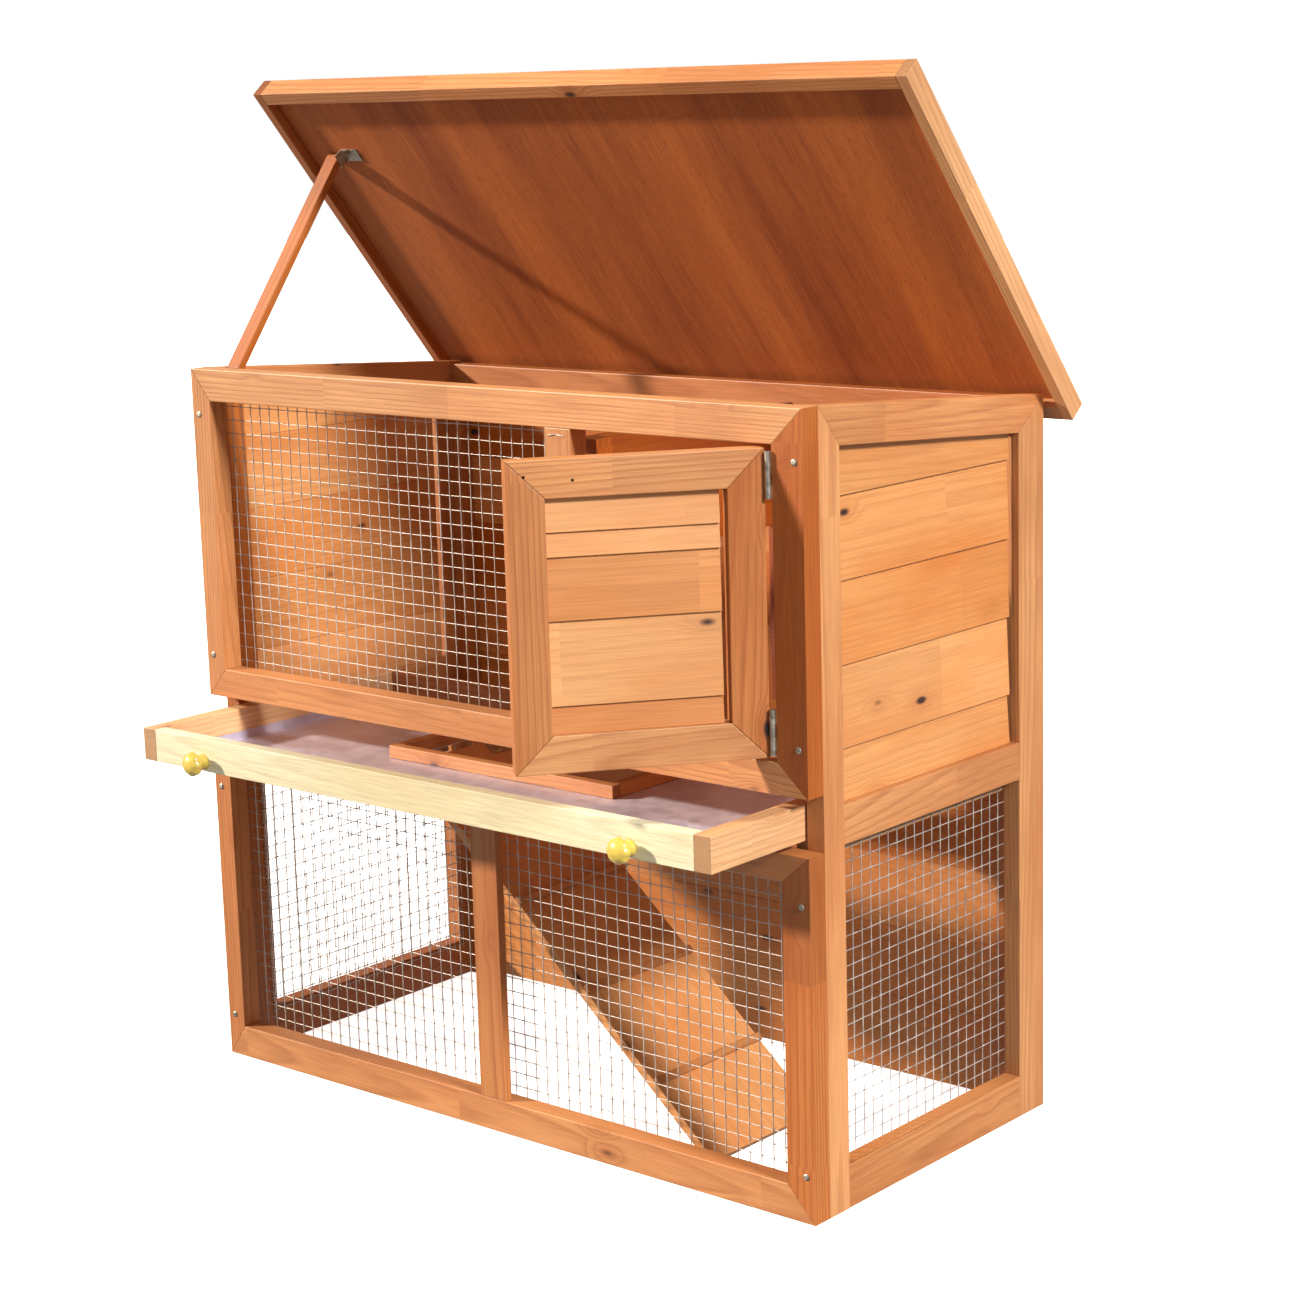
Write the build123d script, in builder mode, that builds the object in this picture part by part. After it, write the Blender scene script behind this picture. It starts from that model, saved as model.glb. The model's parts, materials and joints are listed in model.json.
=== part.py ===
# Two-storey rabbit hutch: an upper mesh room and nest room over an open-floored run.
# Millimetres. X runs across the front, Y to the back, Z up.
# Origin: middle of the front bottom rail's underside, on the ground.
# Stored pose: roof propped open, nest door open, tray pulled out, ramp down.
from build123d import *
from math import cos, radians, sin
import os

os.makedirs("parts", exist_ok=True)

# ---- driving dimensions ----
bodyWidth = 842
panelThickness = 24          # front panels
sideThickness = 20
sideDepth = 382
frontHeight = 790
backHeight = 762
lowerPanelTop = 367
upperPanelBottom = 423
boardThickness = 9
boardPitch = 81
boardEndGap = 6              # left open beside the back stile or the door's hinge stile

stileUpperLeft = 28
stileUpperRight = 36
railUpperTop = 35
railUpperBottom = 32
mullionUpper = (103, 137)    # X of its two edges
stileLowerLeft = 25
stileLowerRight = 33
railLowerTop = 28
railLowerBottom = 36
mullionLower = (-22, 14)
mullionLowerDepth = 10

sideFrontStile = 32
sideBackStile = 46
sideTopRail = 38
sideMidRail = (367.5, 407)   # Z of its two edges
sideBottomRail = 45
sideBoardRecess = 8

meshPitch = 30
meshWire = 2
meshThickness = 1.5
meshLap = 9                  # how far a mesh reaches behind its frame

roofHalfWidth = 445
roofFrontEdge = 434          # from the hinge pin, along the slope
roofBackEdge = 19
roofOpenAngle = 50.3         # above the horizontal, as stored
fasciaDepth = 24
fasciaSide = 12
fasciaFront = 16
plywoodThickness = 5
plywoodSeat = 12             # plywood's underside above the fascia's lower edge
feltThickness = 2

doorOpenAngle = 51.8         # from closed, as stored
doorGap = 2.5
doorPinX = 383
doorHingeGap = 4             # room for both leaves of its hinges
doorThickness = 20
doorMember = 36
doorZ = (459, 752)

trayOut = 116                # how far it is pulled out, as stored
trayHalfWidth = 398
trayDepth = 374
trayZ = (375, 411)
trayBoard = 15
traySide = 20
traySheet = 1
holeX = (-160, 136)
holeY = (34, 217)
rimThickness = 12
rimHeight = 14

rampAngle = 41               # below the horizontal, as stored
rampLength = 551
rampY = (43, 215)
rampThickness = 10
cleatCount = 4
cleatLast = 445              # from the hinge pin to the lowest cleat
cleatPitch = 123
cleatWidth = 9
cleatHeight = 5

propLength = 278
propSection = (19, 9)        # across X, and through
propPivotFromPin = 334       # along the roof's slope

hingeLength = 44
hingeReach = 22
knuckleRadius = 3
pinRadius = 1.5
pinClearance = 0.06
leafThickness = 1.2

screwRadius = 2
screwHeadRadius = 4

# ---- places worked out from them ----
halfWidth = bodyWidth / 2
innerHalf = halfWidth - sideThickness
frontFace = -panelThickness / 2
panelBack = panelThickness / 2
bodyBack = panelBack + sideDepth
topSlope = (frontHeight - backHeight) / sideDepth
backRailDepth = 20
backRailBottom = 722
backRailTop = 760


def topAt(y):
    return frontHeight - topSlope * (y - panelBack)


def finish(builder, label):
    builder.part.label = label
    export_step(builder.part, f"parts/{label}.step")


def timber(label, plane, outline, thickness, holes=(), holeRadius=0):
    """One straight member: its outline on a plane, given a thickness along the plane's normal."""
    with BuildPart() as member:
        with BuildSketch(plane):
            with BuildLine():
                Polyline(*outline, close=True)
            make_face()
        extrude(amount=thickness)
        if holes:
            with BuildSketch(plane):
                with Locations(*holes):
                    Circle(holeRadius)
            extrude(amount=thickness, mode=Mode.SUBTRACT)
    finish(member, label)


def block(x, y, z):
    """A square-cut piece between two X, two Y and two Z values, added to the open part."""
    with BuildSketch(Plane.XY.offset(z[0])) as section:
        with Locations(((x[0] + x[1]) / 2, (y[0] + y[1]) / 2)):
            Rectangle(x[1] - x[0], y[1] - y[0])
    extrude(section.sketch, amount=z[1] - z[0])


# ---- side panels ----
screwX = halfWidth - sideThickness / 2
screwHeights = (48, 318, 470, 740)
screwDepth = 28              # pilot hole in the side panel's front edge


def sideStiles(side, plane):
    """Front and back stile of one side panel, mitred to the top rail."""
    front = panelBack + sideFrontStile
    back = bodyBack - sideBackStile
    with BuildPart() as frontStile:
        with BuildSketch(plane):
            with BuildLine():
                Polyline(
                    (panelBack, 0), (front, 0), (front, topAt(front) - sideTopRail),
                    (panelBack, frontHeight), close=True,
                )
            make_face()
        extrude(amount=sideThickness)
        with BuildSketch(Plane.XZ.offset(-panelBack)):
            with Locations(*[(side * screwX, z) for z in screwHeights]):
                Circle(screwRadius + pinClearance)
        extrude(amount=-screwDepth, mode=Mode.SUBTRACT)
    name = "right" if side > 0 else "left"
    finish(frontStile, f"side_front_stile_{name}")
    backOutline = [(bodyBack, 0), (back, 0), (back, topAt(back) - sideTopRail), (bodyBack, backHeight)]
    timber(f"side_back_stile_{name}", plane, backOutline, sideThickness)


def sideRails(name, plane):
    """Sloped top rail, mid rail and bottom rail of one side panel."""
    front = panelBack + sideFrontStile
    back = bodyBack - sideBackStile
    topOutline = [
        (panelBack, frontHeight), (front, topAt(front) - sideTopRail),
        (back, topAt(back) - sideTopRail), (bodyBack, backHeight),
    ]
    timber(f"side_top_rail_{name}", plane, topOutline, sideThickness)
    for rail, bottom, top in (("mid", *sideMidRail), ("bottom", 0, sideBottomRail)):
        outline = [(front, bottom), (back, bottom), (back, top), (front, top)]
        timber(f"side_{rail}_rail_{name}", plane, outline, sideThickness)


def shiplap(plane, levels, length, lean=3.4):
    """Horizontal boards between the given heights, each with a lip over the board below.

    The plane's X points outward from the wall, its Y up, and its normal runs along the boards.
    """
    lap = 7
    gap = 0.3
    half = boardThickness / 2
    for number, (bottom, top) in enumerate(zip(levels, levels[1:])):
        isLast = number == len(levels) - 2
        outline = [(0, bottom), (-lean, top - gap), (-half - gap, top - gap)]
        if isLast:
            outline = [(0, bottom), (-lean, top), (-boardThickness, top)]
        else:
            outline += [(-half - gap, top + lap), (-boardThickness, top + lap)]
        if number == 0:
            outline += [(-boardThickness, bottom)]
        else:
            outline += [(-boardThickness, bottom + lap + gap), (-half, bottom + lap + gap), (-half, bottom)]
        with BuildSketch(plane) as board:
            with BuildLine():
                Polyline(*outline, close=True)
            make_face()
        extrude(board.sketch, amount=length)


def sideBoards(side):
    """Infill boards of the upper half, set back from the frame's outer face."""
    front = panelBack + sideFrontStile
    back = bodyBack - sideBackStile - boardEndGap
    start = back if side > 0 else front
    plane = Plane(
        origin=(side * (halfWidth - sideBoardRecess), start, 0), x_dir=(side, 0, 0), z_dir=(0, -side, 0)
    )
    joint = 458                  # first joint above the mid rail
    levels = [sideMidRail[1]] + [joint + boardPitch * step for step in range(4)] + [frontHeight]
    with BuildPart() as boards:
        shiplap(plane, levels, back - front)
        with BuildSketch(Plane.YZ.offset(-halfWidth)):
            with BuildLine():
                Polyline(
                    (front, topAt(front) - sideTopRail), (back, topAt(back) - sideTopRail),
                    (back, frontHeight + boardPitch), (front, frontHeight + boardPitch), close=True,
                )
            make_face()
        extrude(amount=bodyWidth, mode=Mode.SUBTRACT)
    finish(boards, f"side_boards_{'right' if side > 0 else 'left'}")


def meshSheet(label, plane, x, y):
    """Welded mesh as one flat sheet of square holes, between two X and two Y values of its plane."""
    width = x[1] - x[0]
    height = y[1] - y[0]
    columns = int((width - meshWire) // meshPitch)
    rows = int((height - meshWire) // meshPitch)
    with BuildPart() as mesh:
        with BuildSketch(plane):
            with Locations(((x[0] + x[1]) / 2, (y[0] + y[1]) / 2)):
                Rectangle(width, height)
                with GridLocations(meshPitch, meshPitch, columns, rows):
                    Rectangle(meshPitch - meshWire, meshPitch - meshWire, mode=Mode.SUBTRACT)
        extrude(amount=meshThickness)
    finish(mesh, label)


def sidePanel(side):
    name = "right" if side > 0 else "left"
    plane = Plane.YZ.offset(innerHalf if side > 0 else -halfWidth)
    sideStiles(side, plane)
    sideRails(name, plane)
    sideBoards(side)
    inside = Plane.YZ.offset(innerHalf - meshThickness if side > 0 else -innerHalf)
    front = panelBack + sideFrontStile - meshLap
    back = bodyBack - sideBackStile + meshLap
    meshSheet(f"side_mesh_{name}", inside, (front, back), (sideBottomRail - meshLap, sideMidRail[0] + meshLap))


sidePanel(-1)
sidePanel(1)

# ---- back panel: boards down to the ground under a top rail, on two corner battens ----
battenSize = 20
with BuildPart() as back_boards:
    backPlane = Plane(origin=(-innerHalf, bodyBack, 0), x_dir=(0, 1, 0), z_dir=(1, 0, 0))
    backLevels = [backRailBottom * step / 9 for step in range(10)]
    shiplap(backPlane, backLevels, 2 * innerHalf)
finish(back_boards, "back_boards")

with BuildPart() as back_rails:
    block((-innerHalf, innerHalf), (bodyBack - backRailDepth, bodyBack), (backRailBottom, backRailTop))
    battenBack = bodyBack - boardThickness
    for side in (-1, 1):
        x = sorted((side * innerHalf, side * (innerHalf - battenSize)))
        block(x, (battenBack - battenSize, battenBack), (0, backRailBottom - 0.3))
finish(back_rails, "back_rails")


# ---- front panels ----
def frontPanel(name, width, bottom, top, sizes, mullion, screws):
    """Four mitred members, a mullion and the holes for the screws that hold the panel to the sides."""
    left, right, rail, foot = sizes
    plane = Plane.XZ.offset(-panelBack)
    x0, x1 = -width / 2, width / 2
    inner = [(x0 + left, bottom + foot), (x1 - right, bottom + foot), (x1 - right, top - rail), (x0 + left, top - rail)]
    outer = [(x0, bottom), (x1, bottom), (x1, top), (x0, top)]
    radius = screwRadius + pinClearance
    holesLeft = [(-screwX, z) for z in screws]
    holesRight = [(screwX, z) for z in screws]
    timber(f"{name}_bottom_rail", plane, [outer[0], outer[1], inner[1], inner[0]], panelThickness)
    timber(f"{name}_right_stile", plane, [outer[1], outer[2], inner[2], inner[1]], panelThickness, holesRight, radius)
    timber(f"{name}_top_rail", plane, [outer[2], outer[3], inner[3], inner[2]], panelThickness)
    timber(f"{name}_left_stile", plane, [outer[3], outer[0], inner[0], inner[3]], panelThickness, holesLeft, radius)
    (m0, m1), depth = mullion
    frontPlane = Plane.XZ.offset(-frontFace - depth)
    bar = [(m0, bottom + foot), (m1, bottom + foot), (m1, top - rail), (m0, top - rail)]
    timber(f"{name}_mullion", frontPlane, bar, depth)


frontPanel(
    "upper", bodyWidth, upperPanelBottom, frontHeight,
    (stileUpperLeft, stileUpperRight, railUpperTop, railUpperBottom),
    (mullionUpper, panelThickness), screwHeights[2:],
)
frontPanel(
    "lower", bodyWidth, 0, lowerPanelTop,
    (stileLowerLeft, stileLowerRight, railLowerTop, railLowerBottom),
    (mullionLower, mullionLowerDepth), screwHeights[:2],
)
meshPlane = Plane.XZ.offset(-panelBack - meshThickness)
meshSheet(
    "upper_mesh", meshPlane, (-innerHalf + 0.5, mullionUpper[0] + meshLap),
    (upperPanelBottom + railUpperBottom - meshLap, frontHeight - railUpperTop + meshLap),
)
meshSheet(
    "lower_mesh", meshPlane, (-innerHalf + 0.5, innerHalf - 0.5),
    (railLowerBottom - meshLap, lowerPanelTop - railLowerTop + meshLap),
)

# ---- partition between the mesh room and the nest room, with a doorway at its foot ----
partitionX = (105, 113.7)
partitionPostX = (114, 134)      # on the nest room's side
partitionZ = (416, 740)
partitionY = (30, bodyBack - backRailDepth)
doorwayY = (200, 340)
doorwayTop = 610
boardJoints = (502, 675)         # Z of the joints between its boards
boardSlack = 0.3
with BuildPart() as partition:
    block(partitionPostX, (partitionY[0], partitionY[0] + 24), partitionZ)
    block(partitionX, (partitionY[0], doorwayY[0]), (partitionZ[0], boardJoints[0]))
    block(partitionX, (partitionY[0], doorwayY[0]), (boardJoints[0] + boardSlack, doorwayTop))
    block(partitionX, (doorwayY[1], partitionY[1]), (partitionZ[0], doorwayTop))
    block(partitionX, partitionY, (doorwayTop + boardSlack, boardJoints[1]))
    block(partitionX, partitionY, (boardJoints[1] + boardSlack, partitionZ[1]))
finish(partition, "partition_boards")

# ---- runners that carry the tray, one along each side panel ----
runnerWidth = 15
runnerHeight = 22
with BuildPart() as tray_runners:
    for side in (-1, 1):
        outerX = innerHalf - meshThickness
        x = sorted((side * outerX, side * (outerX - runnerWidth)))
        block(x, (panelBack + 4, battenBack - battenSize - 2), (trayZ[0] - runnerHeight, trayZ[0]))
finish(tray_runners, "tray_runners")


# ---- hinges ----
def hingeLeaves(places, segments, reach=hingeReach, bottom=knuckleRadius - leafThickness):
    """Leaves of butt hinges, added to the open part.

    Each place is a plane at the middle of a pin: its normal runs along the pin, its X along the leaf,
    and its Y towards the face that the leaf is screwed to. Segments are this leaf's knuckles along the pin,
    and bottom is the leaf's distance from the middle of the pin.
    """
    clear = knuckleRadius + 0.5
    for place in places:
        with BuildSketch(place.offset(-hingeLength / 2)) as leaf:
            with Locations(((clear + reach) / 2, bottom + leafThickness / 2)):
                Rectangle(reach - clear, leafThickness)
        extrude(leaf.sketch, amount=hingeLength)
        for start, end in segments:
            with BuildSketch(place.offset(start)) as knuckle:
                Circle(knuckleRadius)
                with Locations((clear / 2, bottom + leafThickness / 2)):
                    Rectangle(clear, leafThickness)
                Circle(pinRadius + pinClearance, mode=Mode.SUBTRACT)
            extrude(knuckle.sketch, amount=end - start)


def hingePins(places):
    for place in places:
        with BuildSketch(place.offset(-hingeLength / 2)) as pin:
            Circle(pinRadius)
        extrude(pin.sketch, amount=hingeLength)


knuckleSplit = hingeLength / 6
knuckleGap = 0.3
outerKnuckles = [
    (-hingeLength / 2, -knuckleSplit - knuckleGap),
    (knuckleSplit + knuckleGap, hingeLength / 2),
]
middleKnuckle = [(-knuckleSplit, knuckleSplit)]

roofPin = (0, bodyBack + knuckleRadius, 747)
roofTilt = radians(roofOpenAngle)
roofUp = (0, sin(roofTilt), cos(roofTilt))
roofBackwards = (0, cos(roofTilt), -sin(roofTilt))
roofHingeX = (-300, 300)
doorPin = (doorPinX, frontFace - knuckleRadius)
doorTurn = radians(doorOpenAngle)
doorAlong = (cos(doorTurn), sin(doorTurn), 0)
doorHingeZ = (484, 727)
rampPin = (holeX[0] - 2, trayZ[0] + 1 - knuckleRadius)
rampTilt = radians(rampAngle)
rampHingeY = (78, 180)

roofFixedPlaces = [
    Plane(origin=(x, roofPin[1], roofPin[2]), x_dir=(0, 0, -1), z_dir=(-1, 0, 0)) for x in roofHingeX
]
doorFixedPlaces = [Plane(origin=(*doorPin, z), x_dir=(0, 1, 0), z_dir=(0, 0, -1)) for z in doorHingeZ]
doorLeafBottom = doorHingeGap / 2 - leafThickness

with BuildPart() as hinge_fixed_leaves:
    hingeLeaves(roofFixedPlaces, outerKnuckles)
    hingeLeaves(doorFixedPlaces, outerKnuckles, bottom=doorLeafBottom)
finish(hinge_fixed_leaves, "hinge_fixed_leaves")

with BuildPart() as hinge_pins:
    hingePins(roofFixedPlaces + doorFixedPlaces)
finish(hinge_pins, "hinge_pins")

# ---- door: built in its own plane, turned about its hinge pins ----
doorPlane = Plane(origin=(*doorPin, 0), x_dir=doorAlong, z_dir=(0, 0, 1))
doorOuter = knuckleRadius                      # outer face, from the pin
doorInner = doorOuter + doorThickness
doorRight = halfWidth - stileUpperRight - doorHingeGap - doorPin[0]
doorLeft = mullionUpper[1] + doorGap - doorPin[0]
doorFacePlane = Plane(
    origin=doorPlane.from_local_coords((0, doorInner, 0)), x_dir=doorAlong,
    z_dir=(sin(doorTurn), -cos(doorTurn), 0),
)


def doorFrame():
    """Four mitred members."""
    low, high = doorZ
    outer = [(doorLeft, low), (doorRight, low), (doorRight, high), (doorLeft, high)]
    x0, x1 = doorLeft + doorMember, doorRight - doorMember
    z0, z1 = low + doorMember, high - doorMember
    inner = [(x0, z0), (x1, z0), (x1, z1), (x0, z1)]
    for number, name in enumerate(("bottom_rail", "hinge_stile", "top_rail", "latch_stile")):
        following = (number + 1) % 4
        outline = [outer[number], outer[following], inner[following], inner[number]]
        timber(f"door_{name}", doorFacePlane, outline, doorThickness)


doorFrame()

doorBoardLevels = [doorZ[0] + doorMember, 521.5, 601.5, 661, 684, doorZ[1] - doorMember]
doorBoardDepth = 5                             # behind the frame's face
with BuildPart() as door_boards:
    doorBoardPlane = Plane(
        origin=doorPlane.from_local_coords((doorRight - doorMember - boardEndGap, doorOuter + doorBoardDepth, 0)),
        x_dir=(sin(doorTurn), -cos(doorTurn), 0),
        z_dir=(-cos(doorTurn), -sin(doorTurn), 0),
    )
    shiplap(doorBoardPlane, doorBoardLevels, doorRight - doorLeft - 2 * doorMember - boardEndGap, lean=3)
finish(door_boards, "door_boards")

with BuildPart() as door_hinge_leaves:
    doorMovingPlaces = [
        Plane(origin=(*doorPin, z), x_dir=(-sin(doorTurn), cos(doorTurn), 0), z_dir=(0, 0, 1))
        for z in doorHingeZ
    ]
    hingeLeaves(doorMovingPlaces, middleKnuckle, bottom=doorLeafBottom)
finish(door_hinge_leaves, "door_hinge_leaves")

# ---- turn button that holds the door shut, upright on the mullion when free ----
buttonCentre = (sum(mullionUpper) / 2, 605)
buttonLength = 50
buttonWidth = 16
buttonThickness = 5
buttonGap = 0.5
with BuildPart() as turn_button:
    with BuildSketch(Plane.XZ.offset(-frontFace + buttonGap)):
        with Locations(buttonCentre):
            SlotOverall(buttonLength, buttonWidth, rotation=90)
            Circle(screwRadius + pinClearance, mode=Mode.SUBTRACT)
    extrude(amount=buttonThickness)
finish(turn_button, "turn_button")

# ---- screws: front panels to side panels, and the turn button's pivot ----
screwHeadHeight = 2.4
screwTip = panelBack + screwDepth - 2


def screw(centre, shankEnds):
    """A domed-head screw along Y, added to the open part: its head sits on the second shank end."""
    tip, seat = shankEnds
    with BuildSketch(Plane.XZ.offset(-tip)) as shank:
        with Locations(centre):
            Circle(screwRadius)
    extrude(shank.sketch, amount=tip - seat)
    with BuildSketch(Plane.XZ.offset(-seat)) as head:
        with Locations(centre):
            Circle(screwHeadRadius)
    extrude(head.sketch, amount=screwHeadHeight, taper=20)


with BuildPart() as frame_screws:
    for side in (-1, 1):
        for z in screwHeights:
            screw((side * screwX, z), (screwTip, frontFace))
    screw(buttonCentre, (frontFace, frontFace - buttonThickness - 2 * buttonGap))
finish(frame_screws, "frame_screws")

# ---- roof: built in the plane of its slope, with the hinge pin as origin ----
roofLow = knuckleRadius                        # fascia's lower edge above the pin
roofFront = -roofFrontEdge
roofInnerFront = roofFront + fasciaFront
roofInnerHalf = roofHalfWidth - fasciaSide
groove = 4
plywoodLow = roofLow + plywoodSeat
plywoodTop = plywoodLow + plywoodThickness


def roofPlane(height):
    """The roof's own plane, at a height above the hinge pin: X across, Y down the slope."""
    return Plane(origin=roofPin, x_dir=(1, 0, 0), z_dir=roofUp).offset(height)


def roofBlock(x, v, w, mode=Mode.ADD):
    """A square-cut piece of the roof, added to the open part or cut from it."""
    with BuildSketch(roofPlane(w[0])) as section:
        with Locations(((x[0] + x[1]) / 2, (v[0] + v[1]) / 2)):
            Rectangle(x[1] - x[0], v[1] - v[0])
    extrude(section.sketch, amount=w[1] - w[0], mode=mode)


plywoodX = (-roofInnerHalf - groove, roofInnerHalf + groove)
plywoodV = (roofInnerFront - groove, roofBackEdge)
plywoodW = (plywoodLow, plywoodTop)
fasciaW = (roofLow, roofLow + fasciaDepth)

with BuildPart() as roof_front_fascia:
    roofBlock((-roofInnerHalf, roofInnerHalf), (roofFront, roofInnerFront), fasciaW)
    roofBlock(plywoodX, plywoodV, plywoodW, Mode.SUBTRACT)
finish(roof_front_fascia, "roof_front_fascia")

for side, name in ((-1, "left"), (1, "right")):
    with BuildPart() as roof_side_fascia:
        roofBlock(sorted((side * roofInnerHalf, side * roofHalfWidth)), (roofFront, roofBackEdge), fasciaW)
        roofBlock(plywoodX, plywoodV, plywoodW, Mode.SUBTRACT)
    finish(roof_side_fascia, f"roof_{name}_fascia")

with BuildPart() as roof_back_fascia:
    roofBlock((-roofInnerHalf, roofInnerHalf), (0.5, roofBackEdge), (roofLow, plywoodLow))
finish(roof_back_fascia, "roof_back_fascia")

with BuildPart() as roof_plywood:
    roofBlock(plywoodX, plywoodV, plywoodW)
finish(roof_plywood, "roof_plywood")

with BuildPart() as roof_felt:
    feltX = (-roofInnerHalf + 0.5, roofInnerHalf - 0.5)
    roofBlock(feltX, (roofInnerFront + 0.5, roofBackEdge), (plywoodTop, plywoodTop + feltThickness))
finish(roof_felt, "roof_felt")

with BuildPart() as roof_hinge_leaves:
    roofMovingPlaces = [
        Plane(origin=(x, roofPin[1], roofPin[2]), x_dir=roofBackwards, z_dir=(1, 0, 0)) for x in roofHingeX
    ]
    hingeLeaves(roofMovingPlaces, middleKnuckle, roofBackEdge - 1)
finish(roof_hinge_leaves, "roof_hinge_leaves")

# ---- prop stick, on a small angle bracket under the plywood near the left side ----
propX = (-innerHalf + 2, -innerHalf + 2 + propSection[0])
propPinRadius = 2
propW = plywoodLow - propSection[1] / 2 - 2
bracketX = propX[1] + 0.5
bracketThickness = 1.5
bracketHalf = 8
bracketReach = 26
bracketDrop = 6
propPivot = Plane(origin=roofPin, x_dir=(1, 0, 0), z_dir=roofUp).from_local_coords(
    (0, -propPivotFromPin, propW)
)
propFoot = (24, 786)                           # Y and Z of its lower end

with BuildPart() as prop_bracket:
    pivotV = (-propPivotFromPin - bracketHalf, -propPivotFromPin + bracketHalf)
    roofBlock((bracketX, bracketX + bracketThickness), pivotV, (propW - bracketDrop, plywoodLow))
    roofBlock((bracketX, bracketX + bracketReach), pivotV, (plywoodLow - bracketThickness, plywoodLow))
    with BuildSketch(Plane(origin=(propX[0] + 0.5, propPivot.Y, propPivot.Z), x_dir=(0, 1, 0), z_dir=(1, 0, 0))):
        Circle(propPinRadius)
    extrude(amount=bracketX + bracketThickness - propX[0] - 0.5)
finish(prop_bracket, "prop_bracket")

with BuildPart() as prop_stick:
    propDown = Vector(0, propFoot[0] - propPivot.Y, propFoot[1] - propPivot.Z).normalized()
    propMiddle = (propX[0] + propX[1]) / 2
    propOverrun = propSection[1] / 2 + 0.5
    topEnd = Vector(propMiddle, propPivot.Y, propPivot.Z) - propDown * propOverrun
    with BuildSketch(Plane(origin=topEnd, x_dir=(1, 0, 0), z_dir=propDown)):
        Rectangle(*propSection)
    extrude(amount=propLength + propOverrun)
    fillet(prop_stick.edges().filter_by(Axis.X).sort_by(Axis.Z)[-2:], propSection[1] / 2 - 0.1)
    with BuildSketch(Plane(origin=(propX[0], propPivot.Y, propPivot.Z), x_dir=(0, 1, 0), z_dir=(1, 0, 0))):
        Circle(propPinRadius + pinClearance)
    extrude(amount=propSection[0], mode=Mode.SUBTRACT)
finish(prop_stick, "prop_stick")

# ---- tray ----
trayFront = frontFace - 1 - trayOut
trayBack = trayFront + trayDepth
sheetZ = (trayZ[0] + 1, trayZ[0] + 1 + traySheet)
trayInnerX = trayHalfWidth - traySide
trayInnerY = (trayFront + trayBoard, trayBack - trayBoard)

for name, y in (("front", (trayFront, trayInnerY[0])), ("back", (trayInnerY[1], trayBack))):
    with BuildPart() as tray_end:
        block((-trayInnerX, trayInnerX), y, trayZ)
    finish(tray_end, f"tray_{name}")

for side, name in ((-1, "left"), (1, "right")):
    with BuildPart() as tray_side:
        block(sorted((side * trayInnerX, side * trayHalfWidth)), (trayFront, trayBack), trayZ)
    finish(tray_side, f"tray_side_{name}")

with BuildPart() as tray_sheet:
    block((-trayInnerX, trayInnerX), trayInnerY, sheetZ)
    with BuildSketch(Plane.XY.offset(sheetZ[0])):
        with Locations((sum(holeX) / 2, sum(holeY) / 2)):
            Rectangle(holeX[1] - holeX[0], holeY[1] - holeY[0])
    extrude(amount=traySheet, mode=Mode.SUBTRACT)
finish(tray_sheet, "tray_sheet")

with BuildPart() as tray_hole_rim:
    rimZ = (sheetZ[1], sheetZ[1] + rimHeight)
    rimX = (holeX[0] - rimThickness, holeX[1] + rimThickness)
    block(rimX, (holeY[0] - rimThickness, holeY[0]), rimZ)
    block(rimX, (holeY[1], holeY[1] + rimThickness), rimZ)
    for x in ((rimX[0], holeX[0]), (holeX[1], rimX[1])):
        block(x, (holeY[0] + 0.2, holeY[1] - 0.2), rimZ)
finish(tray_hole_rim, "tray_hole_rim")

knobX = 300
knobZ = 386
knobRadius = 14
with BuildPart() as tray_knobs:
    for side in (-1, 1):
        place = Plane(origin=(side * knobX, trayFront, knobZ), x_dir=(1, 0, 0), z_dir=(0, 0, 1))
        with BuildSketch(place):
            with BuildLine():
                Line((0, 0), (9, 0))
                Spline((9, 0), (7, -5), (9.5, -9), (knobRadius, -15), (9.5, -22), (0, -24.5))
                Line((0, -24.5), (0, 0))
            make_face()
        revolve(axis=Axis((side * knobX, trayFront, knobZ), (0, 1, 0)), revolution_arc=360)
finish(tray_knobs, "tray_knobs")

# ---- ramp, hinged to the left edge of the tray's hole ----
rampFixedPlaces = [
    Plane(origin=(rampPin[0], y, rampPin[1]), x_dir=(-1, 0, 0), z_dir=(0, 1, 0)) for y in rampHingeY
]
rampDown = (cos(rampTilt), 0, -sin(rampTilt))
rampMovingPlaces = [
    Plane(origin=(rampPin[0], y, rampPin[1]), x_dir=rampDown, z_dir=(0, 1, 0)) for y in rampHingeY
]

with BuildPart() as ramp_hinge_fixed:
    hingeLeaves(rampFixedPlaces, outerKnuckles)
    hingePins(rampFixedPlaces)
finish(ramp_hinge_fixed, "ramp_hinge_fixed")

with BuildPart() as ramp_hinge_leaves:
    hingeLeaves(rampMovingPlaces, middleKnuckle)
finish(ramp_hinge_leaves, "ramp_hinge_leaves")


def rampBlock(u, w):
    """A piece across the ramp's full width: u down the slope from the pin, w above the pin."""
    plane = Plane(origin=(rampPin[0], 0, rampPin[1]), x_dir=rampDown, z_dir=(sin(rampTilt), 0, cos(rampTilt)))
    with BuildSketch(plane.offset(w[0])) as section:
        with Locations(((u[0] + u[1]) / 2, sum(rampY) / 2)):
            Rectangle(u[1] - u[0], rampY[1] - rampY[0])
    extrude(section.sketch, amount=w[1] - w[0])


with BuildPart() as ramp_board:
    rampBlock((3, rampLength), (-knuckleRadius - rampThickness, -knuckleRadius))
finish(ramp_board, "ramp_board")

with BuildPart() as ramp_cleats:
    for step in range(cleatCount):
        start = cleatLast - cleatPitch * step
        rampBlock((start, start + cleatWidth), (-knuckleRadius, -knuckleRadius + cleatHeight))
finish(ramp_cleats, "ramp_cleats")
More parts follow.
